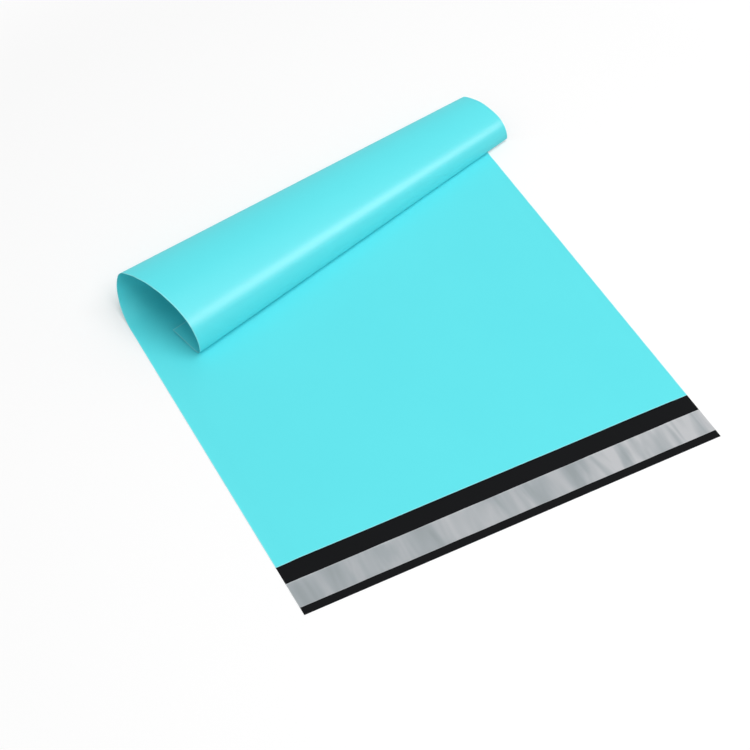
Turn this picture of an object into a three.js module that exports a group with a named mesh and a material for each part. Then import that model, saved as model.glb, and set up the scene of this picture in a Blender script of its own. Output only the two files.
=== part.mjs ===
// Poly mailer bag, lying empty on its back with its bottom end rolled up and over
//
// Millimetres, +Z up. X runs along the bag's width, Y from the sealing lip to the bottom fold.
// The bag is one web of film: a back panel, a fold at the bottom, and a front panel that comes
// back along it and stops short, so that the back panel goes on past the mouth as the lip.
// Both side edges are heat sealed, which leaves one pocket, open at the mouth.
//
// Film bends but doesn't stretch. So the bag is drawn flat first, with u across its width and v
// along its length, and then only turned about straight lines. All of the roll's lines meet in
// one point, on the line of the bottom fold and past the bag's right edge. That makes the roll
// a cone: deep at the bag's left side, and slimmer at its right side.

import * as THREE from 'three';
import { mergeVertices } from 'three/addons/utils/BufferGeometryUtils.js';

// Flat sizes of the bag
const BAG_WIDTH = 368.3;
const BODY_LENGTH = 482.6;
const LIP_LENGTH = 48.4;
const FILM = 0.0635;

// Pocket between the panels
const SIDE_SEAL = 6;
const POCKET_AIR = 0.5;
const AIR_SLOPE = 14;
const PRESSED_FOLD = 1;
const FOLD_SLOPE = 12;

// Adhesive strip on the lip, and the release liner that covers it
const LINER_WIDTH = 24;
const LINER_THICKNESS = 0.08;
const LINER_FROM_LIP_END = 7.2;
const ADHESIVE_WIDTH = 19;
const ADHESIVE_THICKNESS = 0.05;

// Roll: lengths are measured along the bag's left edge, turns in degrees, from the flat part on
const CONE_POINT_PAST_EDGE = 525;
const BACK_ARC = 50;
const BACK_TURN = 94;
const SHOULDER_ARC = 12;
const TOP_ARC = 67;
const TOP_TURN = 49;
const NOSE_ARC = 41;
const NOSE_TURN = 67;
const UNDER_ARC = 9;
const TAIL_LENGTH = 30;
const TAIL_RISE = 4;
const NOSE_CLEARANCE = 0.35;
const FULL_TURN = 360;

// Fineness of the curved parts
const TURN_STEP = 5.5;
const SLOPE_STEPS = 4;

// Worked out from the sizes above
const SHEET_LENGTH = LIP_LENGTH + BODY_LENGTH;
const BAG_THICKNESS = 2 * FILM + POCKET_AIR;
const ROLLED_LENGTH = BACK_ARC + SHOULDER_ARC + TOP_ARC + NOSE_ARC + UNDER_ARC + TAIL_LENGTH;
const CONE_POINT = new THREE.Vector3(BAG_WIDTH + CONE_POINT_PAST_EDGE, SHEET_LENGTH, 0);
const UP = new THREE.Vector3(0, 0, 1);

const radians = THREE.MathUtils.degToRad;
const ease = THREE.MathUtils.smoothstep;

// A row is a straight line across the sheet. It holds where the line starts on the left edge,
// how v changes along it, the attitude of the sheet before it, and the bend at it.
function flatRow(v) {
  return { v, slope: 0, attitude: new THREE.Quaternion(), bend: 0 };
}

function coneRow(v, attitude, bend) {
  const slope = (SHEET_LENGTH - v) / CONE_POINT.x;
  return { v, slope, attitude: attitude.clone(), bend };
}

// Direction of a row on the flat sheet, which is the axis that the sheet turns about there
function rowAxis(row) {
  return new THREE.Vector3(1, row.slope, 0).normalize();
}

// Place of a flat point (u on the row) at a height over the bag's outer back face
function place(row, u, height) {
  const v = row.v + row.slope * u;
  const point = new THREE.Vector3(u, v, 0).sub(CONE_POINT).applyQuaternion(row.attitude);
  const halfBend = new THREE.Quaternion().setFromAxisAngle(rowAxis(row), row.bend / 2);
  const normal = UP.clone().applyQuaternion(row.attitude.clone().multiply(halfBend));
  return point.add(CONE_POINT).addScaledVector(normal, height / Math.cos(row.bend / 2));
}

// Rows of the roll for one shoulder turn. Each zone turns evenly along its arc, and the turn
// under the nose is what is left, so that the tail lies back inside with its small rise.
function rollRows(shoulderTurn) {
  const allTurns = FULL_TURN + TAIL_RISE;
  const underTurn = allTurns - BACK_TURN - shoulderTurn - TOP_TURN - NOSE_TURN;
  const zones = [
    [BACK_ARC, BACK_TURN],
    [SHOULDER_ARC, shoulderTurn],
    [TOP_ARC, TOP_TURN],
    [NOSE_ARC, NOSE_TURN],
    [UNDER_ARC, underTurn],
  ];
  const rows = [];
  const attitude = new THREE.Quaternion();
  let start = SHEET_LENGTH - ROLLED_LENGTH;
  for (const [arc, turn] of zones) {
    const steps = Math.max(2, Math.ceil(Math.abs(turn) / TURN_STEP));
    const bend = radians(turn) / steps;
    for (let i = 0; i < steps; i += 1) {
      const row = coneRow(start + (arc * (i + 0.5)) / steps, attitude, bend);
      rows.push(row);
      attitude.multiply(new THREE.Quaternion().setFromAxisAngle(rowAxis(row), bend));
    }
    start += arc;
  }
  for (const before of [FOLD_SLOPE, FOLD_SLOPE / 2, PRESSED_FOLD, 0]) {
    rows.push(coneRow(SHEET_LENGTH - before, attitude, 0));
  }
  return rows;
}

// Height of the roll's lowest line at the right edge, behind the top of the roll
function lowestLine(rows) {
  const heights = rows.map((row) => place(row, BAG_WIDTH, 0).z);
  const crest = heights.indexOf(Math.max(...heights));
  return Math.min(...heights.slice(crest));
}

// The shoulder turns just so far that the nose comes down onto the flat part of the bag
function closedRoll() {
  const rest = BAG_THICKNESS + NOSE_CLEARANCE;
  let least = 0;
  let most = 150;
  for (let i = 0; i < 40; i += 1) {
    const middle = (least + most) / 2;
    if (lowestLine(rollRows(middle)) > rest) least = middle;
    else most = middle;
  }
  return rollRows(least);
}

// Columns across the bag: both edges, both seals, and the slopes beside them
function columnsAcross() {
  const left = [0];
  for (let i = 0; i <= SLOPE_STEPS; i += 1) {
    left.push(SIDE_SEAL + (AIR_SLOPE * i) / SLOPE_STEPS);
  }
  const right = left.map((u) => BAG_WIDTH - u).reverse();
  return [...left, ...right];
}

// Air between the panels: none at the seals and at the pressed fold, full in the middle
function air(row, u) {
  const fromSide = Math.min(u, BAG_WIDTH - u) - SIDE_SEAL;
  const fromFold = SHEET_LENGTH - PRESSED_FOLD - row.v;
  return POCKET_AIR * ease(fromSide, 0, AIR_SLOPE) * ease(fromFold, 0, FOLD_SLOPE - PRESSED_FOLD);
}

const backOutside = () => 0;
const backInside = () => FILM;
const frontInside = (row, u) => FILM + air(row, u);
const frontOutside = (row, u) => 2 * FILM + air(row, u);

// Surface through rows and columns at a height. It faces up, or down where it is turned.
function panel(rows, columns, height, facesUp) {
  const corners = rows.map((row) => columns.map((u) => place(row, u, height(row, u))));
  return quads(corners, facesUp);
}

// Narrow surface between two heights, along a list of [row, u] places
function edge(places, low, high, facesRight) {
  const bottom = places.map(([row, u]) => place(row, u, low(row, u)));
  const top = places.map(([row, u]) => place(row, u, high(row, u)));
  return quads([bottom, top], facesRight);
}

function quads(grid, forward) {
  const triangles = [];
  for (let i = 0; i + 1 < grid.length; i += 1) {
    for (let j = 0; j + 1 < grid[i].length; j += 1) {
      const [a, b, c, d] = [grid[i][j], grid[i][j + 1], grid[i + 1][j + 1], grid[i + 1][j]];
      if (forward) triangles.push(a, b, c, a, c, d);
      else triangles.push(a, c, b, a, d, c);
    }
  }
  return triangles;
}

// The bag itself, one closed skin round the film with the pocket as a bay that opens at the mouth
function bagGeometry() {
  const lipEnd = flatRow(0);
  const mouth = flatRow(LIP_LENGTH);
  const roll = closedRoll();
  const body = [mouth, ...roll];
  const pocket = body.slice(0, -1);
  const fold = roll[roll.length - 1];
  const across = columnsAcross();
  const between = across.slice(1, -1);
  const along = (rows, u) => rows.map((row) => [row, u]);
  const over = (row) => across.map((u) => [row, u]);
  const triangles = [
    ...panel([lipEnd, ...body], across, backOutside, false),
    ...panel([lipEnd, mouth], across, backInside, true),
    ...panel(pocket, between, backInside, true),
    ...panel(pocket, between, frontInside, false),
    ...panel(body, across, frontOutside, true),
    ...edge(over(lipEnd), backOutside, backInside, true),
    ...edge(over(mouth), frontInside, frontOutside, true),
    ...edge(over(fold), backOutside, backInside, false),
    ...edge(over(fold), backInside, frontOutside, false),
    ...edge(along([lipEnd, mouth], 0), backOutside, backInside, false),
    ...edge(along([lipEnd, mouth], BAG_WIDTH), backOutside, backInside, true),
    ...edge(along(body, 0), backOutside, backInside, false),
    ...edge(along(body, BAG_WIDTH), backOutside, backInside, true),
    ...edge(along(body, 0), backInside, frontOutside, false),
    ...edge(along(body, BAG_WIDTH), backInside, frontOutside, true),
  ];
  return mergeVertices(new THREE.BufferGeometry().setFromPoints(triangles));
}

// Flat strip across the lip, with its lower face at a height
function stripGeometry(width, thickness, middle, bottom) {
  const strip = new THREE.BoxGeometry(BAG_WIDTH, width, thickness);
  return strip.translate(BAG_WIDTH / 2, middle, bottom + thickness / 2);
}

function piece(name, geometry, colour, roughness, metalness) {
  geometry.computeVertexNormals();
  const material = new THREE.MeshStandardMaterial({ color: colour, roughness, metalness });
  const mesh = new THREE.Mesh(geometry, material);
  mesh.name = name;
  return mesh;
}

const linerMiddle = LINER_FROM_LIP_END + LINER_WIDTH / 2;
const adhesive = stripGeometry(ADHESIVE_WIDTH, ADHESIVE_THICKNESS, linerMiddle, FILM);
const liner = stripGeometry(LINER_WIDTH, LINER_THICKNESS, linerMiddle, FILM + ADHESIVE_THICKNESS);

const bag = new THREE.Group();
bag.add(piece('bag_film', bagGeometry(), 0x5fe6ee, 0.38, 0));
bag.add(piece('adhesive_strip', adhesive, 0xd9d6c8, 0.6, 0));
bag.add(piece('release_liner', liner, 0xb9bcbe, 0.34, 0));

// The origin is on the floor, under the middle of the bag as it lies
const extent = new THREE.Box3().setFromObject(bag);
const centre = extent.getCenter(new THREE.Vector3());
bag.position.set(-centre.x, -centre.y, -extent.min.z);

const group = new THREE.Group();
group.add(bag);

export default group;
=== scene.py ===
# %% [markdown]
# Poly mailer bag
#
# This lesson dresses one poly mailer bag: a flat bag of thin plastic film, turquoise outside and
# black inside, with a sealing lip at one end. The bag lies on its back, and its bottom end is
# rolled up and over. The solid model of the bag is loaded first and stays where it is. The film
# and the release liner are worked out with numpy on that frame, in metres.

# %% Load the frame
import math

import bpy
import numpy as np
from mathutils import Euler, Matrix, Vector


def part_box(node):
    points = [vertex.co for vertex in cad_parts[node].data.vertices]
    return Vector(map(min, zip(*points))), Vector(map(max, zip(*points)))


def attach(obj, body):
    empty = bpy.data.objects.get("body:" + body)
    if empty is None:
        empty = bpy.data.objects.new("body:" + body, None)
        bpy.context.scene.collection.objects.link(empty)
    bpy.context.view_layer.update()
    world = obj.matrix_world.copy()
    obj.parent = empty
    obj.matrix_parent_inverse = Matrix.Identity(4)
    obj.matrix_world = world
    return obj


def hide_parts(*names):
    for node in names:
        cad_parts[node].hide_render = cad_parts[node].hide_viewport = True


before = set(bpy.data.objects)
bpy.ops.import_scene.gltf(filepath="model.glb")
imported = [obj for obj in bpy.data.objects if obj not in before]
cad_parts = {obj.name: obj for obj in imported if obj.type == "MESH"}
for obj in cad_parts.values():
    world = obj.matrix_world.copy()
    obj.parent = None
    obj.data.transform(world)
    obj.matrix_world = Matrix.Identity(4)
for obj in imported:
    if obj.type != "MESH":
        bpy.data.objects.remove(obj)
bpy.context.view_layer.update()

print("nodes", sorted(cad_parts))

# %% [markdown]
# Sizes
#
# A mailer is made from one web of film: the back panel, a fold at the bottom, and the front panel
# that comes back over it and stops short of the lip. Its width, its body and its lip are the
# driving sizes. They could be measured on the solid model, but its triangles don't say what is lip
# and what is body, so they are written once here. Smaller sizes follow where they are first
# needed. The liner of the solid model shows where the bag lies, because it runs along the lip from
# edge to edge.

# %% Sizes of the bag
BAG_WIDTH = 0.3683
LIP_LENGTH = 0.0484
BODY_LENGTH = 0.4826
LINER_FROM_LIP_END = 0.0072

SHEET_LENGTH = LIP_LENGTH + BODY_LENGTH
liner_low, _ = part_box("release_liner")
BAG_CORNER = np.array([liner_low[0], liner_low[1] - LINER_FROM_LIP_END, 0.0])
print("left corner of the lip", BAG_CORNER.round(4))
print("sheet", BAG_WIDTH, "x", round(SHEET_LENGTH, 4))

# %% [markdown]
# The roll
#
# Film bends but doesn't stretch. A sheet that only bends can be drawn flat and then turned about
# straight lines on it. All the lines of this roll meet in one point past the bag's right edge, so
# the roll is a cone: deep at the left and slim at the right. A simulation could find such a shape
# too, but turning about lines gives it exactly, and every length stays true. Each zone of the roll
# has a length along the left edge and a turn in degrees. The turns are spread over many fine
# lines, and the spread is softened a little, so that the gloss runs over the roll without a break.

# %% Zones of the roll
CONE_POINT_PAST_EDGE = 0.525
BACK_ARC, BACK_TURN = 0.050, 94
SHOULDER_ARC = 0.012
TOP_ARC, TOP_TURN = 0.067, 49
NOSE_ARC, NOSE_TURN = 0.041, 67
UNDER_ARC = 0.009
TAIL_LENGTH = 0.030
TAIL_RISE = 4
FULL_TURN = 360

CONE_POINT = np.array([BAG_WIDTH + CONE_POINT_PAST_EDGE, SHEET_LENGTH, 0.0])
ROLLED_LENGTH = BACK_ARC + SHOULDER_ARC + TOP_ARC + NOSE_ARC + UNDER_ARC + TAIL_LENGTH
ROLL_START = SHEET_LENGTH - ROLLED_LENGTH
print("rolled length at the left edge", round(ROLLED_LENGTH, 4))

# %% Turns of the roll's lines
SOFTENING = 0.0016
SOFTENED_MARGIN = 4 * SOFTENING
LINE_SPACING = 0.0008
BELL_REACH = 3
BELL_SAMPLES = 25


def spread_turns(shoulder_turn):
    """Places of the roll's lines on the left edge, and the turn at each, in radians.

    Turn per length is constant in each zone. It is averaged with a bell curve whose half width
    is SOFTENING, and each line gets the turn of one LINE_SPACING. The turn under the nose is what
    the other zones leave of a full turn and the tail's small rise.
    """
    under_turn = FULL_TURN + TAIL_RISE - BACK_TURN - shoulder_turn - TOP_TURN - NOSE_TURN
    arcs = [BACK_ARC, SHOULDER_ARC, TOP_ARC, NOSE_ARC, UNDER_ARC]
    turns = [BACK_TURN, shoulder_turn, TOP_TURN, NOSE_TURN, under_turn]
    ends = ROLL_START + np.cumsum([0.0] + arcs)
    turned = np.radians(np.cumsum([0.0] + turns))
    borders = np.arange(ROLL_START - SOFTENED_MARGIN, ends[-1] + SOFTENED_MARGIN, LINE_SPACING)
    offsets = np.linspace(-BELL_REACH, BELL_REACH, BELL_SAMPLES)
    weights = np.exp(-offsets**2 / 2)
    weights /= weights.sum()
    shifted = borders[:, None] + SOFTENING * offsets[None, :]
    smooth = (np.interp(shifted, ends, turned) * weights).sum(axis=1)
    return (borders[:-1] + borders[1:]) / 2, np.diff(smooth)


print("lines in the roll", len(spread_turns(0.0)[0]))

# %% [markdown]
# Lines across the sheet
#
# The sheet is a family of straight lines that run from its left edge to its right edge. A line
# turns everything that comes after it, so the attitude of the sheet at a line is the product of
# all the turns before it. A Curve modifier could wind a grid too, but it would stretch the film on
# a cone. The lines of the flat part turn by nothing, and only lead over from the square mouth to
# the slanting first line of the roll.

# %% Places of the lines
FLAT_SPACING = 0.006
LIP_LINES = 9
TAIL_LINES = 24
PRESSED_FOLD = 0.001


def line_places(cone_v):
    """Start v and slope of every line, and the number of the roll's first line.

    A line starts at v on the left edge and rises by slope for each metre of width. Lines of the
    flat part swing round evenly from square at the mouth to the slope of the roll's first line.
    The lines of roll and tail point at the cone's point.
    """
    lip_v = np.linspace(0.0, LIP_LENGTH, LIP_LINES)
    steps = int((cone_v[0] - LIP_LENGTH) / FLAT_SPACING)
    flat_v = np.linspace(LIP_LENGTH, cone_v[0], steps + 1)[1:-1]
    swing = (flat_v - LIP_LENGTH) / (cone_v[0] - LIP_LENGTH)
    fold_start = SHEET_LENGTH - PRESSED_FOLD
    tail_v = np.append(np.linspace(cone_v[-1], fold_start, TAIL_LINES)[1:], SHEET_LENGTH)
    cone_slopes = (SHEET_LENGTH - np.concatenate([cone_v, tail_v])) / CONE_POINT[0]
    v = np.concatenate([lip_v, flat_v, cone_v, tail_v])
    slope = np.concatenate([0 * lip_v, cone_slopes[0] * swing, cone_slopes])
    return v, slope, len(lip_v) + len(flat_v)


print("lines before the roll", line_places(spread_turns(0.0)[0])[2])

# %% Attitude at each line
def turn_matrices(axes, angles):
    """Rotation matrices about unit axes, for all lines at once.

    A matrix is 1 + sin(angle) K + (1 - cos(angle)) K K, where K is the cross product with the
    axis.
    """
    x, y, z = axes.T
    zero = np.zeros_like(x)
    cross = np.array([[zero, -z, y], [z, zero, -x], [-y, x, zero]]).transpose(2, 0, 1)
    sine = np.sin(angles)[:, None, None]
    versine = (1 - np.cos(angles))[:, None, None]
    return np.eye(3) + sine * cross + versine * (cross @ cross)


def sheet_lines(shoulder_turn):
    """Every line across the sheet, with the sheet's attitude before it and halfway through it.

    The attitude before a line is the product of the turns of all lines before it.
    """
    cone_v, bends = spread_turns(shoulder_turn)
    v, slope, first = line_places(cone_v)
    turn = np.zeros_like(v)
    turn[first:first + len(bends)] = bends
    axes = np.stack([np.ones_like(v), slope, np.zeros_like(v)], axis=1)
    axes /= np.linalg.norm(axes, axis=1, keepdims=True)
    whole = turn_matrices(axes, turn)
    half = turn_matrices(axes, turn / 2)
    before = np.empty_like(whole)
    attitude = np.eye(3)
    for i, step in enumerate(whole):
        before[i] = attitude
        attitude = attitude @ step
    return {"v": v, "slope": slope, "turn": turn, "before": before, "middle": before @ half}


print("lines across the sheet", len(sheet_lines(0.0)["v"]))

# %% Points on the lines
def place(lines, across, height):
    """Places of the sheet's points: one row for each line, one column for each u in across.

    The flat point (u, v + slope u) turns about the cone's point with its line's attitude, and
    then moves along the film's normal by its height over the outer back face.
    """
    v = lines["v"][:, None] + lines["slope"][:, None] * across[None, :]
    u = np.broadcast_to(across[None, :], v.shape)
    flat = np.stack([u, v, np.zeros_like(v)], axis=2) - CONE_POINT
    turned = np.einsum("rij,rcj->rci", lines["before"], flat) + CONE_POINT
    normal = lines["middle"][:, :, 2] / np.cos(lines["turn"] / 2)[:, None]
    height = np.broadcast_to(height, v.shape)
    return turned + height[:, :, None] * normal[:, None, :] + BAG_CORNER


def lowest_of_nose(lines):
    """Height of the roll's lowest line at the right edge, behind its top."""
    heights = place(lines, np.array([BAG_WIDTH]), 0.0)[:, 0, 2]
    return heights[heights.argmax():].min()


print("nose without a shoulder", round(lowest_of_nose(sheet_lines(0.0)), 4), "m up")

# %% [markdown]
# Closing the roll
#
# On the real bag the rolled film springs back until its nose lies on the front panel. A cloth
# simulation could find that place by its collisions. Here the shoulder's turn is found by halving
# an interval, which is quick and gives the same answer in each run: too small a turn leaves the
# nose in the air, and too large a turn pushes it through the panel.

# %% Close the roll
FILM = 0.0000635
POCKET_AIR = 0.0005
BAG_THICKNESS = 2 * FILM + POCKET_AIR
NOSE_CLEARANCE = 0.00035
MOST_SHOULDER_TURN = 150.0
HALVINGS = 24

least_turn, most_turn = 0.0, MOST_SHOULDER_TURN
for _ in range(HALVINGS):
    middle_turn = (least_turn + most_turn) / 2
    if lowest_of_nose(sheet_lines(middle_turn)) > BAG_THICKNESS + NOSE_CLEARANCE:
        least_turn = middle_turn
    else:
        most_turn = middle_turn
LINES = sheet_lines(least_turn)
print("shoulder turn", round(least_turn, 2), "nose", round(lowest_of_nose(LINES), 5), "m up")

# %% [markdown]
# Heights of the film's faces
#
# The two panels touch at the side seals and at the bottom fold, and a little air lies between them
# in the middle. Real film is never quite flat: the front panel carries long, shallow swells, and
# the welded side edges pucker, because the heat shrinks them. Both are tenths of a millimetre, but
# they are what makes the light on plastic film look alive. They could be sculpted or displaced by
# a texture. Here they are formulas on the flat sheet, so they follow it round the roll.

# %% Columns of the grid
SIDE_SEAL = 0.006
EDGE_COLUMNS = np.array([0.0, 0.0012, 0.0024, 0.0036, 0.0048, 0.006, 0.0075, 0.009, 0.011,
                         0.0135, 0.0165, 0.020])
EDGE_ZONE = EDGE_COLUMNS[-1]
MIDDLE_STEPS = 41

middle_columns = np.linspace(EDGE_ZONE, BAG_WIDTH - EDGE_ZONE, MIDDLE_STEPS + 1)[1:-1]
ACROSS = np.concatenate([EDGE_COLUMNS, middle_columns, BAG_WIDTH - EDGE_COLUMNS[::-1]])
SEAL_COLUMN = int(np.argmin(np.abs(EDGE_COLUMNS - SIDE_SEAL)))

flat_u = np.broadcast_to(ACROSS[None, :], (len(LINES["v"]), len(ACROSS)))
flat_v = LINES["v"][:, None] + LINES["slope"][:, None] * ACROSS[None, :]
from_side = np.minimum(flat_u, BAG_WIDTH - flat_u)
from_fold = SHEET_LENGTH - LINES["v"][:, None]
print("grid", flat_u.shape, "column at the seal's inner border", SEAL_COLUMN)

# %% Air between the panels
AIR_SLOPE = 0.014
FOLD_SLOPE = 0.012


def ease(x, low, high):
    """Smooth step from 0 at low to 1 at high: 3t^2 - 2t^3."""
    t = np.clip((x - low) / (high - low), 0.0, 1.0)
    return t * t * (3 - 2 * t)


# Air rises from nothing at the seals and the fold to POCKET_AIR in the middle
air = POCKET_AIR * ease(from_side, SIDE_SEAL, SIDE_SEAL + AIR_SLOPE)
air = air * ease(from_fold, PRESSED_FOLD, FOLD_SLOPE)
print("air in the middle", round(float(air.max()), 5))

# %% Swells, pucker and the four faces
SWELL = 0.00010
SWELL_WAVES = ((41, 23, 0.0, 1.0), (67, -35, 1.3, 0.6))
PUCKER = 0.00022
PUCKER_LENGTH = 0.019
PUCKER_REACH = 0.6 * SIDE_SEAL
PUCKER_START = 0.02
WANDER, WANDER_WAVE = 2.2, 31

# A swell is share * sin(across * u + along * v + phase), and it fades out with the air
swell = sum(share * np.sin(across * flat_u + along * flat_v + phase)
            for across, along, phase, share in SWELL_WAVES)
swell = SWELL * swell * air / POCKET_AIR

# The pucker is a wave along the edge with a wandering length, and dies away from the edge
ripple = 1 + np.sin(2 * math.pi * flat_v / PUCKER_LENGTH + WANDER * np.sin(WANDER_WAVE * flat_v))
pucker = 0.5 * PUCKER * ripple * np.exp(-from_side / PUCKER_REACH)
pucker = pucker * ease(flat_v, LIP_LENGTH, LIP_LENGTH + PUCKER_START)

BACK_OUTSIDE = pucker
BACK_INSIDE = FILM + pucker
FRONT_INSIDE = FILM + air + swell + pucker
FRONT_OUTSIDE = 2 * FILM + air + swell + pucker
print("most swell", round(float(swell.max()), 5), "most pucker", round(float(pucker.max()), 5))

# %% [markdown]
# The film as one closed skin
#
# The bag's surface is a set of patches on the same lines and columns: the outer back, the inner
# back, which is bare on the lip, the inner front and the outer front, and the narrow cut edges.
# A Solidify modifier could give one sheet its thickness, but it can't leave a pocket that opens at
# the mouth. Neighbouring patches have the same points along their common edge, so joining points
# that coincide closes the skin, and the pocket is a bay in it. Patches on the inside of the web
# get the black material, and the others get the turquoise one.

# %% Patch and rim
OUTSIDE, INSIDE = 0, 1


def patch(rows, columns, height, faces_up, side):
    """Grid of points for a range of lines and columns at a height, with its facing and side."""
    part = {key: values[rows] for key, values in LINES.items()}
    points = place(part, ACROSS[columns], height[rows, columns])
    flat = np.stack([flat_u[rows, columns], flat_v[rows, columns]], axis=2)
    return points, flat, faces_up, side


def rim(rows, columns, low, high, faces_up, side):
    """Strip between two heights along one edge of the sheet: low points, then high points."""
    low_points, flat, _, _ = patch(rows, columns, low, True, side)
    high_points, _, _, _ = patch(rows, columns, high, True, side)
    points = np.stack([low_points.reshape(-1, 3), high_points.reshape(-1, 3)])
    return points, np.stack([flat.reshape(-1, 2)] * 2), faces_up, side


print("material numbers: outside", OUTSIDE, "inside", INSIDE)

# %% Patches of the bag
MOUTH = LIP_LINES - 1
LAST = len(LINES["v"]) - 1


def film_patches():
    """All patches of the bag: four faces of the web and the cut edges between them."""
    lip = slice(0, MOUTH + 1)
    body = slice(MOUTH, LAST + 1)
    pocket = slice(MOUTH, LAST)
    whole = slice(0, LAST + 1)
    wide = slice(0, len(ACROSS))
    between = slice(SEAL_COLUMN, len(ACROSS) - SEAL_COLUMN)
    left = slice(0, 1)
    right = slice(len(ACROSS) - 1, len(ACROSS))
    lip_end = slice(0, 1)
    mouth = slice(MOUTH, MOUTH + 1)
    fold = slice(LAST, LAST + 1)
    return [
        patch(whole, wide, BACK_OUTSIDE, False, OUTSIDE),
        patch(lip, wide, BACK_INSIDE, True, INSIDE),
        patch(pocket, between, BACK_INSIDE, True, INSIDE),
        patch(pocket, between, FRONT_INSIDE, False, INSIDE),
        patch(body, wide, FRONT_OUTSIDE, True, OUTSIDE),
        rim(lip_end, wide, BACK_OUTSIDE, BACK_INSIDE, True, INSIDE),
        rim(mouth, wide, FRONT_INSIDE, FRONT_OUTSIDE, True, OUTSIDE),
        rim(fold, wide, BACK_OUTSIDE, BACK_INSIDE, False, OUTSIDE),
        rim(fold, wide, BACK_INSIDE, FRONT_OUTSIDE, False, OUTSIDE),
        rim(lip, left, BACK_OUTSIDE, BACK_INSIDE, False, INSIDE),
        rim(lip, right, BACK_OUTSIDE, BACK_INSIDE, True, INSIDE),
        rim(body, left, BACK_OUTSIDE, BACK_INSIDE, False, OUTSIDE),
        rim(body, right, BACK_OUTSIDE, BACK_INSIDE, True, OUTSIDE),
        rim(body, left, BACK_INSIDE, FRONT_OUTSIDE, False, OUTSIDE),
        rim(body, right, BACK_INSIDE, FRONT_OUTSIDE, True, OUTSIDE),
    ]


print("patches", len(film_patches()))

# %% Join the patches
WELD_DISTANCE = 2e-7


def grid_quads(shape, start, faces_up):
    """Corner numbers of a grid's quads, turned round where the grid faces down.

    A quad is cut into triangles from its first corner. The left half of the grid starts one
    corner later than the right half, so that the cuts mirror each other, and both back corners
    of the pocket are cut towards the corner point, where its two faces meet.
    """
    numbers = start + np.arange(shape[0] * shape[1]).reshape(shape)
    a, b = numbers[:-1, :-1], numbers[:-1, 1:]
    c, d = numbers[1:, 1:], numbers[1:, :-1]
    quads = np.stack([a, b, c, d] if faces_up else [a, d, c, b], axis=2)
    left_half = quads.shape[1] // 2
    quads[:, :left_half] = np.roll(quads[:, :left_half], 1, axis=2)
    return quads.reshape(-1, 4)


def join_patches(patches):
    """Points, corner numbers, flat coordinates of the corners, and sides of all patches' quads.

    Each patch's numbers start where the last patch's end. Points that agree to WELD_DISTANCE
    become one.
    """
    points, flats, quads, sides = [], [], [], []
    start = 0
    for grid, flat, faces_up, side in patches:
        points.append(grid.reshape(-1, 3))
        flats.append(flat.reshape(-1, 2))
        quads.append(grid_quads(grid.shape[:2], start, faces_up))
        sides.append(np.full(len(quads[-1]), side))
        start += len(points[-1])
    points, flats, quads = np.concatenate(points), np.concatenate(flats), np.concatenate(quads)
    keys = np.round(points / WELD_DISTANCE).astype(np.int64)
    _, first, joined = np.unique(keys, axis=0, return_index=True, return_inverse=True)
    return points[first], joined.reshape(-1)[quads], flats[quads], np.concatenate(sides)


film_skin = join_patches(film_patches())
print("points of the film after joining", len(film_skin[0]))

# %% Build the film
SHARP_ANGLE = 40


def new_object(name, data):
    """Object with its data, linked to the scene."""
    made = bpy.data.objects.new(name, data)
    bpy.context.scene.collection.objects.link(made)
    return made


def skin_object(name, skin, materials):
    """Mesh object of a joined skin, with its flat map, smooth up to SHARP_ANGLE."""
    points, corners, flats, sides = skin
    mesh = bpy.data.meshes.new(name)
    mesh.from_pydata(points.tolist(), [], corners.tolist())
    for material in materials:
        mesh.materials.append(material)
    mesh.polygons.foreach_set("material_index", sides.astype(np.int32))
    mesh.polygons.foreach_set("use_smooth", np.ones(len(sides), dtype=bool))
    layer = mesh.uv_layers.new(name="flat")
    layer.data.foreach_set("uv", flats.astype(np.float32).ravel())
    mesh.update()
    mesh.set_sharp_from_angle(angle=math.radians(SHARP_ANGLE))
    return new_object(name, mesh)


film_outside = bpy.data.materials.new("turquoise_film")
film_inside = bpy.data.materials.new("black_film")
film = skin_object("mailer_film", film_skin, [film_outside, film_inside])
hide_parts("bag_film")
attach(film, "root")
print("film", len(film.data.vertices), "points", len(film.data.polygons), "faces")

# %% [markdown]
# The release liner
#
# The liner is a strip of slick, silver-grey release film. It is a little wider than the adhesive
# that it covers, so its two long edges are free and lift in shallow waves. Cloth simulation could
# lift them, but over tenths of a millimetre a sum of waves is simpler and looks the same. The
# liner is a closed strip on a grid: u runs along the lip, and t across the liner, from -1 at one
# edge to 1 at the other.

# %% Shape of the liner
LINER_WIDTH = 0.024
LINER_THICKNESS = 0.00008
ADHESIVE_WIDTH = 0.019
ADHESIVE_THICKNESS = 0.00005
LINER_COLUMNS, LINER_ROWS = 260, 21
LINER_LIFT = 0.00030
LIFT_WAVES = ((97, 1, 0.3), (171, 2, 0.2))
LIFT_PHASE = 1.7
LINER_SWELL = 0.00006
TOP_WAVES = ((260, 3, 0.25), (410, -2, 0.25))


def wavy(u, across, waves):
    """A half, plus share * sin(number * u + lean * across) for each wave."""
    return 0.5 + sum(share * np.sin(number * u + lean * across) for number, lean, share in waves)


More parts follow.
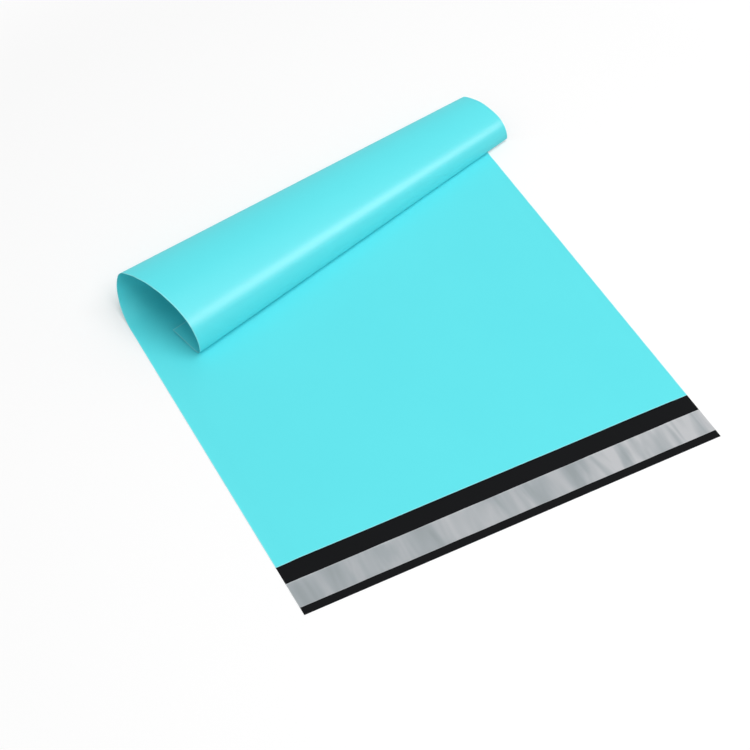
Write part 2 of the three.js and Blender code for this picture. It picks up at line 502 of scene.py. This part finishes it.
def liner_grid():
    """Flat coordinates, lower places and upper places of the liner.

    The lower height is the adhesive's, plus a lift on the free margins: the lift grows with the
    square of the way past the adhesive's edge, times slow waves along the lip. The upper face has
    small waves of its own that fade out towards the edges with 1 - t^2.
    """
    u = np.linspace(0.0, BAG_WIDTH, LINER_COLUMNS)[None, :]
    t = np.linspace(-1.0, 1.0, LINER_ROWS)[:, None]
    v = LINER_FROM_LIP_END + LINER_WIDTH * (1 + t) / 2 + 0 * u
    free = ease(np.abs(t), ADHESIVE_WIDTH / LINER_WIDTH, 1.0) ** 2
    lift = LINER_LIFT * free * wavy(u, np.where(t > 0, 0.0, LIFT_PHASE), LIFT_WAVES)
    low = FILM + ADHESIVE_THICKNESS + lift
    high = low + LINER_THICKNESS + LINER_SWELL * wavy(u, t, TOP_WAVES) * (1 - t**2)
    flat = np.stack([u + 0 * v, v], axis=2)
    bottom = np.concatenate([flat, low[:, :, None]], axis=2) + BAG_CORNER
    top = np.concatenate([flat, high[:, :, None]], axis=2) + BAG_CORNER
    return flat, bottom, top


print("top of the liner", round(float(liner_grid()[2][:, :, 2].max()), 6))

# %% Build the liner
def liner_patches():
    """Bottom and top of the liner, joined by its four narrow edges."""
    flat, bottom, top = liner_grid()

    def edge(index, faces_up):
        ends = np.stack([bottom[index], top[index]])
        return ends, np.stack([flat[index]] * 2), faces_up, OUTSIDE

    return [
        (bottom, flat, False, OUTSIDE),
        (top, flat, True, OUTSIDE),
        edge(np.s_[0, :], True),
        edge(np.s_[-1, :], False),
        edge(np.s_[:, 0], False),
        edge(np.s_[:, -1], True),
    ]


liner_film = bpy.data.materials.new("release_film")
liner = skin_object("liner_strip", join_patches(liner_patches()), [liner_film])
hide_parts("release_liner")
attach(liner, "root")
print("liner", len(liner.data.polygons), "faces")

# %% [markdown]
# Small tools for node trees
#
# A finish is a tree of nodes. It could be drawn by hand in the node editor, but written down it is
# the same in each run and can be read. The same few steps come back in every tree: add a node, fill
# its inputs with values or links, do a sum. Each step gets a short helper, so that a finish further
# down reads like a recipe.

# %% Helpers for nodes
def add_node(tree, kind, place_at, **settings):
    """New node of a kind at a place in the node editor, with its settings."""
    node = tree.nodes.new(kind)
    node.location = place_at
    for key, value in settings.items():
        setattr(node, key, value)
    return node


def feed(tree, node, inputs):
    """Fills a node's inputs: a socket is linked, and anything else is set as the value."""
    for key, value in inputs.items():
        if isinstance(value, bpy.types.NodeSocket):
            tree.links.new(value, node.inputs[key])
        else:
            node.inputs[key].default_value = value
    return node


def math_node(tree, operation, place_at, *inputs):
    """Result of an operation on sockets or plain numbers."""
    node = add_node(tree, "ShaderNodeMath", place_at, operation=operation)
    return feed(tree, node, dict(enumerate(inputs))).outputs[0]


print("helpers", add_node.__name__, feed.__name__, math_node.__name__)

# %% Helpers for node groups
def new_group(name, inputs, outputs):
    """Empty node group with number sockets, and the nodes at its two ends."""
    group = bpy.data.node_groups.new(name, "ShaderNodeTree")
    for in_out, labels in (("INPUT", inputs), ("OUTPUT", outputs)):
        for label in labels:
            group.interface.new_socket(name=label, in_out=in_out, socket_type="NodeSocketFloat")
    given = add_node(group, "NodeGroupInput", (-1100, -400))
    result = add_node(group, "NodeGroupOutput", (500, 0))
    return group, given.outputs, result


def flat_map(tree, place_at):
    """The map that holds u and v of the flat sheet, in metres."""
    return add_node(tree, "ShaderNodeUVMap", place_at, uv_map="flat").outputs["UV"]


print("helpers", new_group.__name__, flat_map.__name__)

# %% [markdown]
# The surface of blown film
#
# Blown film has a satin gloss, with a very fine grain and faint lines that run the way the web was
# drawn. A picture of film could be laid on it, but it would blur close up. Noise doesn't. One node
# group makes that surface for both sides of the film. It reads the flat map, so the lines follow
# the film round the roll, and it puts out a mask and a height. Each material mixes its own colours
# with the mask and feeds the height to its own Bump node.

# %% Group for the web's surface
GRAIN_SCALE = 900.0
DRAWN_STRETCH = (210.0, 3.0, 1.0)
CLOUD_SCALE = 14.0


def noise(tree, place_at, inputs):
    """Noise that varies about 0.5."""
    node = add_node(tree, "ShaderNodeTexNoise", place_at)
    return feed(tree, node, inputs).outputs["Fac"]


def web_surface_group():
    """Fine grain plus drawn lines: two noises on the flat map, one of them stretched along v.

    Height is Grain * grain noise + Lines * stretched noise. Mask is a slow, cloudy noise.
    """
    group, given, result = new_group("web_surface", ("Grain", "Lines"), ("Mask", "Height"))
    flat = flat_map(group, (-1100, 0))
    stretch = add_node(group, "ShaderNodeMapping", (-800, -200))
    drawn_map = feed(group, stretch, {"Vector": flat, "Scale": DRAWN_STRETCH}).outputs["Vector"]
    grain = noise(group, (-500, 250), {"Vector": flat, "Scale": GRAIN_SCALE, "Detail": 2.0})
    lines = noise(group, (-500, -100), {"Vector": drawn_map, "Scale": 1.0, "Detail": 3.0})
    clouds = noise(group, (-500, -450), {"Vector": flat, "Scale": CLOUD_SCALE, "Detail": 2.0})
    fine = math_node(group, "MULTIPLY", (-200, 150), grain, given["Grain"])
    drawn = math_node(group, "MULTIPLY", (-200, -100), lines, given["Lines"])
    height = math_node(group, "ADD", (100, 0), fine, drawn)
    feed(group, result, {"Mask": clouds, "Height": height})
    return group


WEB_SURFACE = web_surface_group()
print("group", WEB_SURFACE.name)

# %% [markdown]
# Edges and seals
#
# Where film is cut or creased sharply, its colour is painted a little paler: a painted edge
# highlight that stands in for the glint along the edge, together with a little real whitening of
# the stretched plastic. Beside the bag's side edges lies the heat seal, a narrow band with fine
# crimps from the sealing bar. Both could be painted on by hand. The flat map is in metres, though,
# so the distance from an edge is plain arithmetic, and two more node groups work out both effects
# from it, for the bag and for the liner.

# %% Group for edge wear
def smooth_range(tree, place_at, value, start, end, at_start, at_end):
    """Smooth step of a value: at_start up to start, and at_end from end on."""
    node = add_node(tree, "ShaderNodeMapRange", place_at, interpolation_type="SMOOTHSTEP")
    feed(tree, node, {"Value": value, "From Min": start, "From Max": end,
                      "To Min": at_start, "To Max": at_end})
    return node.outputs["Result"]


def edge_distance_and_highlight_group():
    """Distance from the side edges, and Paleness, a painted edge highlight near any edge, on the
    flat map.

    To side is the smaller of u and Width - u. The nearest edge is as far as the smallest of
    To side, |v - Low| and |v - High|. Paleness falls from Strength at the edge to 0 at Reach.
    """
    group, given, result = new_group("edge_distance_and_highlight", ("Width", "Low", "High", "Reach", "Strength"),
                                     ("To side", "Paleness"))
    parts = add_node(group, "ShaderNodeSeparateXYZ", (-900, 100))
    u, v, _ = feed(group, parts, {0: flat_map(group, (-1100, 100))}).outputs
    to_right = math_node(group, "SUBTRACT", (-600, 300), given["Width"], u)
    to_side = math_node(group, "MINIMUM", (-400, 300), u, to_right)
    from_low = math_node(group, "SUBTRACT", (-600, 50), v, given["Low"])
    from_high = math_node(group, "SUBTRACT", (-600, -200), v, given["High"])
    to_low = math_node(group, "ABSOLUTE", (-400, 50), from_low)
    to_high = math_node(group, "ABSOLUTE", (-400, -200), from_high)
    to_line = math_node(group, "MINIMUM", (-200, -100), to_low, to_high)
    nearest = math_node(group, "MINIMUM", (0, 0), to_side, to_line)
    # Paleness is the painted edge highlight: a lighter colour towards every edge
    paleness = smooth_range(group, (250, -100), nearest, 0.0, given["Reach"],
                            given["Strength"], 0.0)
    feed(group, result, {"To side": to_side, "Paleness": paleness})
    return group


EDGE_DISTANCE_AND_HIGHLIGHT = edge_distance_and_highlight_group()
print("group", EDGE_DISTANCE_AND_HIGHLIGHT.name)

# %% Group for the heat seal
CRIMP_SPACING = 0.0013
CRIMPED_WHOLLY = 0.85 * SIDE_SEAL

# A Wave Texture of scale 1 turns by 20 radians in each metre
WAVE_TEXTURE_TURN = 20


def heat_seal_group():
    """Crimps along v, full in the seal and gone at its inner border.

    Height is the wave, times a smooth step of To side from 1 at CRIMPED_WHOLLY to 0 at SIDE_SEAL.
    """
    group, given, result = new_group("heat_seal", ("To side",), ("Height",))
    wave = add_node(group, "ShaderNodeTexWave", (-600, 200), bands_direction="Y")
    feed(group, wave, {
        "Vector": flat_map(group, (-900, 200)),
        "Scale": 2 * math.pi / (WAVE_TEXTURE_TURN * CRIMP_SPACING),
        "Distortion": 0.0,
    })
    in_seal = smooth_range(group, (-600, -250), given["To side"], CRIMPED_WHOLLY, SIDE_SEAL,
                           1.0, 0.0)
    height = math_node(group, "MULTIPLY", (-200, 0), wave.outputs["Fac"], in_seal)
    feed(group, result, {"Height": height})
    return group


HEAT_SEAL = heat_seal_group()
print("group", HEAT_SEAL.name)

# %% [markdown]
# The film's two sides
#
# The web is turquoise outside and black inside, so that nothing in the bag shows through. The two
# sides could be two separate materials, made one after the other. They are the same plastic,
# though, so one function makes both from their own colours: two close shades by the slow mask, a
# painted highlight along the cut edge, and crimps in the side seals as a part of the bump.

# %% Helpers for materials
BUMP_STRENGTH = 0.5


def open_material(material):
    """Node tree of a material, and the Principled BSDF in it."""
    material.use_nodes = True
    return material.node_tree, material.node_tree.nodes["Principled BSDF"]


def place_group(tree, place_at, group, inputs):
    """Outputs of a node group that is placed in a tree with its own values."""
    node = add_node(tree, "ShaderNodeGroup", place_at, node_tree=group)
    return feed(tree, node, inputs).outputs


def opaque(colour):
    """Colour with full alpha."""
    return (*colour, 1.0)


def mixed(tree, place_at, factor, first, second):
    """Colour between two colours, by a factor from 0 to 1."""
    node = add_node(tree, "ShaderNodeMix", place_at, data_type="RGBA")
    return feed(tree, node, {"Factor": factor, "A": first, "B": second}).outputs["Result"]


def bumped(tree, place_at, height, distance):
    """Normal of a surface that rises by distance where the height goes from 0 to 1."""
    node = add_node(tree, "ShaderNodeBump", place_at)
    feed(tree, node, {"Height": height, "Distance": distance, "Strength": BUMP_STRENGTH})
    return node.outputs["Normal"]


print("bump strength", BUMP_STRENGTH)

# %% Film materials
# Width of the painted edge highlight along each cut edge
PALE_EDGE = 0.0010
GRAIN, DRAWN_LINES = 0.5, 0.6
FILM_BUMP = 0.00003


def film_material(material, dark, light, pale, paleness, roughness, gloss):
    """Satin film: two shades by the slow mask, a painted highlight at cut edges, crimped in the
    side seals.
    """
    tree, shader = open_material(material)
    web = place_group(tree, (-900, 0), WEB_SURFACE, {"Grain": GRAIN, "Lines": DRAWN_LINES})
    edge_effects = place_group(tree, (-1200, 250), EDGE_DISTANCE_AND_HIGHLIGHT, {
        "Width": BAG_WIDTH, "Low": LIP_LENGTH, "High": SHEET_LENGTH,
        "Reach": PALE_EDGE, "Strength": paleness,
    })
    seal = place_group(tree, (-900, -200), HEAT_SEAL, {"To side": edge_effects["To side"]})
    shades = mixed(tree, (-600, 150), web["Mask"], opaque(dark), opaque(light))
    height = math_node(tree, "ADD", (-600, -150), seal["Height"], web["Height"])
    feed(tree, shader, {
        # Near the edges the base colour turns to the pale colour: a painted edge highlight
        "Base Color": mixed(tree, (-350, 200), edge_effects["Paleness"], shades, opaque(pale)),
        "Roughness": roughness,
        "Specular IOR Level": gloss,
        "Normal": bumped(tree, (-350, -150), height, FILM_BUMP),
    })


# pale and paleness set the painted edge highlight; the black side has none
film_material(film_outside, dark=(0.118, 0.820, 0.892), light=(0.126, 0.840, 0.906),
              pale=(0.52, 0.92, 0.95), paleness=0.55, roughness=0.35, gloss=0.30)
film_material(film_inside, dark=(0.0030, 0.0034, 0.0042), light=(0.0045, 0.0051, 0.0063),
              pale=(0.02, 0.02, 0.02), paleness=0.0, roughness=0.45, gloss=0.08)
print("materials", film_outside.name, film_inside.name)

# %% [markdown]
# The liner's finish
#
# The release film is thin and slick. Where it bridges the uneven adhesive it ripples, and soft
# streaks run across the strip, some lighter and some darker. The streaks are painted reflections,
# and the ripples are a bump. A picture of streaks would fit one strip only. Here they are a noise
# on the flat map, squeezed along the lip and drawn out across it, and a ramp turns the noise into
# greys: the liner's own grey and lighter and darker painted reflections. The left part of the
# strip gets even, cool painted reflections, and the right end gets livelier and lighter ones, so
# the noise gets more contrast and a higher level there.

# %% Greys of the liner and its painted reflections
# Darker painted reflection, the liner's own grey, lighter painted reflection
LINER_GREYS_AND_REFLECTIONS = ((0.30, (0.285, 0.322, 0.336)), (0.50, (0.370, 0.406, 0.428)),
                (0.76, (0.550, 0.562, 0.580)))
# Colour of the painted highlight along the liner's rim
RIM_HIGHLIGHT_GREY = (0.72, 0.73, 0.74)


def colour_ramp(tree, place_at, factor, shades):
    """Colour of a factor between shades, each a position and a colour."""
    node = feed(tree, add_node(tree, "ShaderNodeValToRGB", place_at), {"Fac": factor})
    stops = node.color_ramp.elements
    stops[0].position, stops[1].position = shades[0][0], shades[-1][0]
    for position, _ in shades[1:-1]:
        stops.new(position)
    for stop, (_, colour) in zip(stops, shades):
        stop.color = opaque(colour)
    return node.outputs["Color"]


print("greys", len(LINER_GREYS_AND_REFLECTIONS))

# %% Liner material
# Width and strength of the painted highlight along the liner's rim
LINER_RIM = 0.0009
LINER_PALENESS = 0.4
STREAK_SQUEEZE = (64.0, 12.0, 1.0)
STREAK_LEAN = (0.0, 0.0, math.radians(8))
# Quiet left part and lively, lighter right end of the painted reflection streaks
QUIET_END, LIVELY_END = 0.22, 0.31
QUIET_CONTRAST, LIVELY_CONTRAST = 0.85, 1.50
QUIET_LEVEL, LIVELY_LEVEL = 0.515, 0.68
LINER_BUMP = 0.00012


def release_film_material(material):
    """Greys by (noise - 0.5) * contrast + level, which paint the reflection streaks, with a painted
    highlight at the rim and a bump of the noise.
    """
    tree, shader = open_material(material)
    flat = flat_map(tree, (-1500, 0))
    squeeze = add_node(tree, "ShaderNodeMapping", (-1300, 0))
    feed(tree, squeeze, {"Vector": flat, "Scale": STREAK_SQUEEZE, "Rotation": STREAK_LEAN})
    streak_noise = noise(tree, (-1100, 0), {"Vector": squeeze.outputs["Vector"], "Scale": 1.0,
                                      "Detail": 2.5, "Distortion": 0.5})
    parts = add_node(tree, "ShaderNodeSeparateXYZ", (-1300, -450))
    along = feed(tree, parts, {0: flat}).outputs[0]
    contrast = smooth_range(tree, (-1100, -350), along, QUIET_END, LIVELY_END,
                            QUIET_CONTRAST, LIVELY_CONTRAST)
    level = smooth_range(tree, (-1100, -650), along, QUIET_END, LIVELY_END,
                         QUIET_LEVEL, LIVELY_LEVEL)
    centred = math_node(tree, "SUBTRACT", (-900, 0), streak_noise, 0.5)
    shade = math_node(tree, "MULTIPLY_ADD", (-700, 0), centred, contrast, level)
    # The liner's rim gets the same painted edge highlight as the film
    edge_effects = place_group(tree, (-700, 300), EDGE_DISTANCE_AND_HIGHLIGHT, {
        "Width": BAG_WIDTH, "Low": LINER_FROM_LIP_END, "High": LINER_FROM_LIP_END + LINER_WIDTH,
        "Reach": LINER_RIM, "Strength": LINER_PALENESS,
    })
    # The ramp paints the reflection streaks into the base colour
    greys = colour_ramp(tree, (-500, 0), shade, LINER_GREYS_AND_REFLECTIONS)
    feed(tree, shader, {
        "Base Color": mixed(tree, (-200, 200), edge_effects["Paleness"], greys, opaque(RIM_HIGHLIGHT_GREY)),
        "Roughness": 0.32,
        "Specular IOR Level": 0.5,
        "Normal": bumped(tree, (-500, -350), streak_noise, LINER_BUMP),
    })


release_film_material(liner_film)
print("material", liner_film.name)

# %% [markdown]
# The adhesive
#
# The adhesive is a milky hot-melt strip under the liner. It could be replaced by a new piece, but
# the solid model's plain flat strip is the right shape, so that node stays and only gets a finish.
# It has no flat map, so its fine noise reads Object coordinates.

# %% Adhesive material
ADHESIVE_DARK = (0.55, 0.52, 0.42)
ADHESIVE_LIGHT = (0.74, 0.72, 0.64)
BEAD_SCALE = 420.0


def adhesive_material():
    """Milky hot-melt: two pale shades by a fine noise."""
    material = bpy.data.materials.new("hot_melt_adhesive")
    tree, shader = open_material(material)
    where = add_node(tree, "ShaderNodeTexCoord", (-900, 0)).outputs["Object"]
    beads = noise(tree, (-700, 0), {"Vector": where, "Scale": BEAD_SCALE})
    shades = mixed(tree, (-400, 0), beads, opaque(ADHESIVE_DARK), opaque(ADHESIVE_LIGHT))
    feed(tree, shader, {"Base Color": shades, "Roughness": 0.55})
    return material


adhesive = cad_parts["adhesive_strip"]
adhesive.material_slots[0].material = adhesive_material()
print("material", adhesive.active_material.name, "in", len(adhesive.material_slots), "slot")

# %% [markdown]
# Floor and world
#
# The floor is a pale sheet that gathers the bag's soft shadow. In a product photo the floor is
# white. Brighter lamps could whiten it, but they would bleach the bag too. So the floor and the
# world glow for the camera, for light that passes through something, and weakly for reflections,
# and none of that light falls on the bag. Near the bag the floor's glow is low enough to leave the
# shadow in. Farther out it grows, so that the floor fades into the white background in low views.

# %% Glow that only the camera sees
SEEN_IN_GLOSS = 0.3


def lift_to_white(tree, surface, extra):
    """Surface plus a glow of strength extra for the camera, and a weaker one for reflections.

    Strength is extra * max(camera ray, SEEN_IN_GLOSS * glossy ray, transmission ray).
    """
    path = add_node(tree, "ShaderNodeLightPath", (-900, 300)).outputs
    mirrored = math_node(tree, "MULTIPLY", (-700, 200), path["Is Glossy Ray"], SEEN_IN_GLOSS)
    seen = math_node(tree, "MAXIMUM", (-500, 300), path["Is Camera Ray"], mirrored)
    through = math_node(tree, "MAXIMUM", (-300, 300), seen, path["Is Transmission Ray"])
    strength = math_node(tree, "MULTIPLY", (-100, 300), through, extra)
    glow = feed(tree, add_node(tree, "ShaderNodeEmission", (100, 300)), {"Strength": strength})
    both = add_node(tree, "ShaderNodeAddShader", (300, 150))
    return feed(tree, both, {0: surface, 1: glow.outputs[0]}).outputs[0]


print("share of the glow in reflections", SEEN_IN_GLOSS)

# %% Make the floor
FLOOR_HALF = 4.0
FLOOR_DROP = 0.00005
FLOOR_GREY = (0.75, 0.75, 0.75)
NEAR_GLOW, FAR_GLOW = 0.29, 1.0
GLOW_GROWS_FROM, GLOW_GROWS_TO = 0.45, 1.35


def floor_material():
    """Matt pale grey, with a glow that grows with the distance from the bag."""
    material = bpy.data.materials.new("pale_floor")
    tree, shader = open_material(material)
    feed(tree, shader, {"Base Color": opaque(FLOOR_GREY), "Roughness": 0.9,
                        "Specular IOR Level": 0.0})
    where = add_node(tree, "ShaderNodeTexCoord", (-900, 700)).outputs["Object"]
    length = add_node(tree, "ShaderNodeVectorMath", (-700, 700), operation="LENGTH")
    distance = feed(tree, length, {0: where}).outputs["Value"]
    glow = smooth_range(tree, (-500, 700), distance, GLOW_GROWS_FROM, GLOW_GROWS_TO,
                        NEAR_GLOW, FAR_GLOW)
    lifted = lift_to_white(tree, shader.outputs[0], glow)
    feed(tree, tree.nodes["Material Output"], {"Surface": lifted})
    return material


floor_mesh = bpy.data.meshes.new("floor")
floor_corners = [(x * FLOOR_HALF, y * FLOOR_HALF, -FLOOR_DROP)
                 for x, y in ((-1, -1), (1, -1), (1, 1), (-1, 1))]
floor_mesh.from_pydata(floor_corners, [], [(0, 1, 2, 3)])
floor_mesh.materials.append(floor_material())
floor = new_object("floor", floor_mesh)
print("floor", 2 * FLOOR_HALF, "m wide")

# %% Make the world
WORLD_FILL = 0.42
WORLD_SEEN = 1.0

world = bpy.data.worlds.new("studio")
bpy.context.scene.world = world
world.use_nodes = True
sky = world.node_tree
background = sky.nodes["Background"]
feed(sky, background, {"Color": opaque((1.0, 1.0, 1.0)), "Strength": WORLD_FILL})
lifted_sky = lift_to_white(sky, background.outputs[0], WORLD_SEEN - WORLD_FILL)
feed(sky, sky.nodes["World Output"], {"Surface": lifted_sky})
print("world fill", WORLD_FILL)

# %% [markdown]
# Lamps
#
# The world gives a dim even fill, and a wide lamp overhead gives the main light. The roll shows a
# soft bright band along its nose, which is the reflection of one more lamp at the front right. The
# band could be painted on, but then it would stay put when the bag is seen from another side. The
# lamp shows in gloss only, because it would otherwise bleach the whole roll. It is a little warm,
# so that the band turns whitish and not just brighter.

# %% Hang the lamps
WARM_WHITE = (1.0, 0.86, 0.82)


def soft_lamp(name, towards, distance, width, height, power):
    """Area lamp at a distance along a direction from the bag, facing back at it."""
    light = bpy.data.lights.new(name, "AREA")
    light.shape = "RECTANGLE"
    light.size = width
    light.size_y = height
    light.energy = power
    lamp = new_object(name, light)
    direction = Vector(towards).normalized()
    lamp.location = direction * distance
    lamp.rotation_euler = direction.to_track_quat("Z", "Y").to_euler()
    return lamp


soft_lamp("overhead", towards=(0.20, -0.25, 1.0), distance=2.6, width=2.6, height=2.4, power=48.5)
nose_strip = soft_lamp("nose_strip", towards=(0.72, -0.50, 0.555), distance=2.2,
                       width=0.9, height=0.85, power=37.0)
nose_strip.visible_diffuse = False
nose_strip.data.color = WARM_WHITE

# %% [markdown]
# Camera
#
# The camera sees the bag from the angle of the product photo. It could be set by eye. Here its
# height angle, heading, distance and lens were found from the straight edges of the lip and the
# side of the bag, which are known lengths, because that is more exact.

# %% Set up the camera
CAMERA_PITCH = math.radians(48.79)
CAMERA_HEADING = math.radians(27.74)
CAMERA_DISTANCE = 1.7154
CAMERA_LENS = 101.39
CAMERA_SENSOR = 36.0
CAMERA_NEAR, CAMERA_FAR = 0.01, 50.0
AIM_ON_BAG = np.array([0.1559, 0.1844, 0.0])

lens = bpy.data.cameras.new("photo_camera")
lens.lens = CAMERA_LENS
lens.sensor_width = CAMERA_SENSOR
lens.clip_start = CAMERA_NEAR
lens.clip_end = CAMERA_FAR
camera = new_object("photo_camera", lens)
forward = Vector((
    math.sin(CAMERA_HEADING) * math.cos(CAMERA_PITCH),
    math.cos(CAMERA_HEADING) * math.cos(CAMERA_PITCH),
    -math.sin(CAMERA_PITCH),
))
camera.location = Vector(BAG_CORNER + AIM_ON_BAG) - CAMERA_DISTANCE * forward
camera.rotation_euler = Euler((math.pi / 2 - CAMERA_PITCH, 0.0, -CAMERA_HEADING))
bpy.context.scene.camera = camera
bpy.context.scene.view_settings.view_transform = "Standard"
print("camera at", tuple(round(x, 4) for x in camera.location))
